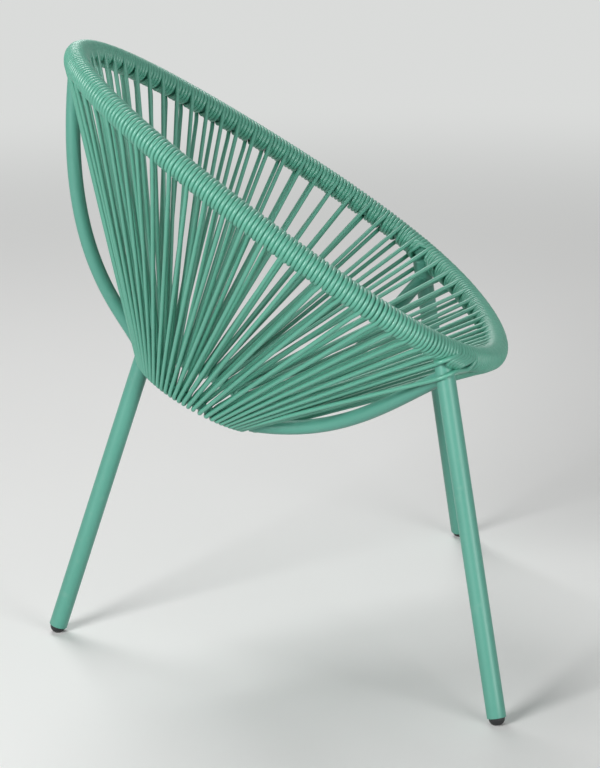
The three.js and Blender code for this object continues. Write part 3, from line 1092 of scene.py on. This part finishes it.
# %% Weld beads
BEAD_RADIUS = 1.6 * MM
BEAD_SIDES = 10
BEAD_POINTS = 56
WELD_FROM = 12
LAST_STRETCH = 4
RIPPLE_HEIGHT = 0.18
RIPPLE_ANGLE = 2.9
RIPPLE_UNEVENNESS = 0.08


def crossing_line(point, heading, radius, other_point, other_axis, other_radius):
    """The line on which a round bar's wall, going its way, first meets another bar's wall."""
    side = unit(np.cross(heading, other_axis))
    across = np.cross(heading, side)
    line = []
    for angle in np.linspace(0, 2 * math.pi, BEAD_POINTS, endpoint=False):
        start = point + radius * (math.cos(angle) * side + math.sin(angle) * across)
        gap = start - other_point
        flat_gap = gap - other_axis * (gap @ other_axis)
        flat_heading = heading - other_axis * (heading @ other_axis)
        a = flat_heading @ flat_heading
        b = 2 * flat_gap @ flat_heading
        c = flat_gap @ flat_gap - other_radius**2
        reach = max(b * b - 4 * a * c, 0.0)
        line.append(start + heading * (-b - math.sqrt(reach)) / (2 * a))
    return np.array(line)


def ripple(i):
    wave = 1 + RIPPLE_HEIGHT * math.sin(RIPPLE_ANGLE * i)
    return wave + random.uniform(-RIPPLE_UNEVENNESS, RIPPLE_UNEVENNESS)


for side_name, side in (("left", 1), ("right", -1)):
    leg = "front_" + side_name
    line = strut_line(side)
    start, heading = line[-WELD_FROM], unit(line[-1] - line[-LAST_STRETCH])
    foot, axis = leg_ends[leg][0], leg_axes[leg]
    ring = crossing_line(start, heading, STRUT_RADIUS, foot, axis, LEG_RADIUS)
    ripples = [ripple(i) for i in range(BEAD_POINTS)]
    name = "weld_strut_leg_" + side_name
    bead, bead_length = tube_along(name, ring, BEAD_RADIUS, BEAD_SIDES, True, ripples)
    finish_piece(bead, [], powder_coat)
print("weld bead %.0f mm round" % (bead_length / MM))

# %% [markdown]
# ## The background
# The chair stands before a plain pale backdrop. A real one would throw its own light on the
# chair and flatten it, so this one is only shown: to the camera, in mirrored rays and through
# clear things. All other rays meet a dim room.

# %% Rays that show the background
BACKDROP = (0.7, 0.71, 0.7, 1)


def background_rays(finish):
    """1 for the rays that show the background: to the camera, mirrored or let through."""
    camera_ray, glossy_ray, clear_ray = [
        finish.node("ShaderNodeLightPath", output="Is %s Ray" % kind)
        for kind in ("Camera", "Glossy", "Transmission")
    ]
    return camera_ray + glossy_ray + clear_ray


def shown_instead(finish, outlet, factor, shader):
    """The finish's own shader, with another one in its place where the factor is 1."""
    own = Wire(finish, finish.shader.outputs[0])
    both = finish.node("ShaderNodeMixShader", {}, {0: factor, 1: own, 2: shader})
    finish.plug(finish.tree.nodes[outlet].inputs["Surface"], both)


print("backdrop colour:", BACKDROP[:3])

# %% [markdown]
# ## Floor
# The floor is a plain pale sheet with a faint unevenness. Near the chair it keeps the shadow,
# and away from it the floor fades into the backdrop, for the same rays as above. To all other
# rays it is a dim grey, so that it doesn't light the chair from below.

# %% Studio floor
FLOOR_HALF_SIZE = 30
FLOOR_SHADE = (0.9, 0.9, 0.89, 1)
FLOOR_LIGHT = (0.92, 0.92, 0.91, 1)
DIM_FLOOR = (0.42, 0.42, 0.42, 1)
FADE_FROM = 1.5
FADE_TO = 4.0


def floor_finish():
    pale_floor = bpy.data.materials.new("pale_floor")
    finish = Finish(pale_floor)
    place = finish.coordinates()
    pale = finish.mix(finish.noise(place, scale=1.5, detail=3.0), FLOOR_SHADE, FLOOR_LIGHT)
    seen = background_rays(finish)
    finish.surface(Base_Color=finish.mix(seen, DIM_FLOOR, pale), Roughness=0.8)
    distance = finish.node("ShaderNodeVectorMath", {"operation": "LENGTH"}, {0: place}, "Value")
    fade = finish.ramp(distance, FADE_FROM, FADE_TO) * seen
    glow = finish.node("ShaderNodeEmission", {}, {"Color": BACKDROP})
    shown_instead(finish, "Material Output", fade, glow)
    return pale_floor


def studio_floor():
    shape = bmesh.new()
    bmesh.ops.create_grid(shape, x_segments=2, y_segments=2, size=FLOOR_HALF_SIZE)
    mesh = bpy.data.meshes.new("studio_floor")
    shape.to_mesh(mesh)
    shape.free()
    floor = add_object("studio_floor", mesh)
    floor.data.materials.append(floor_finish())
    return floor


floor = studio_floor()
print("floor half size:", FLOOR_HALF_SIZE)

# %% [markdown]
# ## Light
# The light is soft, as in a studio: a large lamp high on the camera's left, weaker ones high
# behind the chair and low on the camera's right, and a dim pale room all round. Large square
# lamps give soft edges to the shadows.

# %% Studio lamps and room
LAMP_AIM = (0, 0, 0.45)
LAMPS = {
    "key_lamp": {"place": (-2.8, 2.4, 1.8), "size": 1.4, "power": 118},
    "back_lamp": {"place": (1.8, 0.6, 3.0), "size": 1.4, "power": 50},
    "fill_lamp": {"place": (-2.8, -2.1, 0.9), "size": 1.6, "power": 50},
}
ROOM_COLOUR = (0.9, 0.92, 0.92, 1)
ROOM_STRENGTH = 0.11


def area_lamp(name, place, size, power):
    lamp = bpy.data.lights.new(name, "AREA")
    lamp.shape = "SQUARE"
    lamp.size = size
    lamp.energy = power
    holder = bpy.data.objects.new(name, lamp)
    heading = Vector(LAMP_AIM) - Vector(place)
    turn = heading.to_track_quat("-Z", "Y").to_matrix().to_4x4()
    holder.matrix_world = Matrix.Translation(Vector(place)) @ turn
    scene.collection.objects.link(holder)
    return holder


lamps = [area_lamp(name, **lamp) for name, lamp in LAMPS.items()]
scene.world = bpy.data.worlds.new("pale_room")
room = Finish(scene.world, "Background")
room.surface(Color=ROOM_COLOUR, Strength=ROOM_STRENGTH)
backdrop = room.node("ShaderNodeBackground", {}, {"Color": BACKDROP})
shown_instead(room, "World Output", background_rays(room), backdrop)
scene.view_settings.view_transform = "Standard"
print("lamps:", len(lamps))

# %% [markdown]
# ## Camera
# The photograph looks at the chair's right side from a little above, from about four metres,
# and the camera leans by about a degree. The lens follows from how large the chair stands in
# the frame.

# %% Camera
CAMERA_AZIMUTH = math.radians(-90.396)
CAMERA_ELEVATION = math.radians(16.166)
CAMERA_DISTANCE = 4062.7 * MM
CAMERA_ROLL = math.radians(-1.165)
AIM_BEFORE_RIM = 10.3 * MM
AIM_HEIGHT = 357.92 * MM
FOCAL_PIXELS = 2927.6
LONG_SIDE_PIXELS = 768
FILM_WIDTH = 36.0
aim = np.array([0.0, RIM_CENTRE[1] - AIM_BEFORE_RIM, AIM_HEIGHT])
back = np.array(
    [
        math.sin(CAMERA_AZIMUTH) * math.cos(CAMERA_ELEVATION),
        -math.cos(CAMERA_AZIMUTH) * math.cos(CAMERA_ELEVATION),
        math.sin(CAMERA_ELEVATION),
    ]
)
right = unit(np.cross(-back, [0, 0, 1]))
upward = np.cross(right, -back)
leaned_right = right * math.cos(CAMERA_ROLL) + upward * math.sin(CAMERA_ROLL)
leaned_up = upward * math.cos(CAMERA_ROLL) - right * math.sin(CAMERA_ROLL)
camera_data = bpy.data.cameras.new("camera")
camera_data.sensor_width = FILM_WIDTH
camera_data.lens = FOCAL_PIXELS * FILM_WIDTH / LONG_SIDE_PIXELS
camera = bpy.data.objects.new("camera", camera_data)
placed = np.eye(4)
placed[:3, 0], placed[:3, 1], placed[:3, 2] = leaned_right, leaned_up, back
placed[:3, 3] = aim + back * CAMERA_DISTANCE
camera.matrix_world = Matrix(placed.tolist())
scene.collection.objects.link(camera)
scene.camera = camera
print("lens %.1f mm" % camera_data.lens)
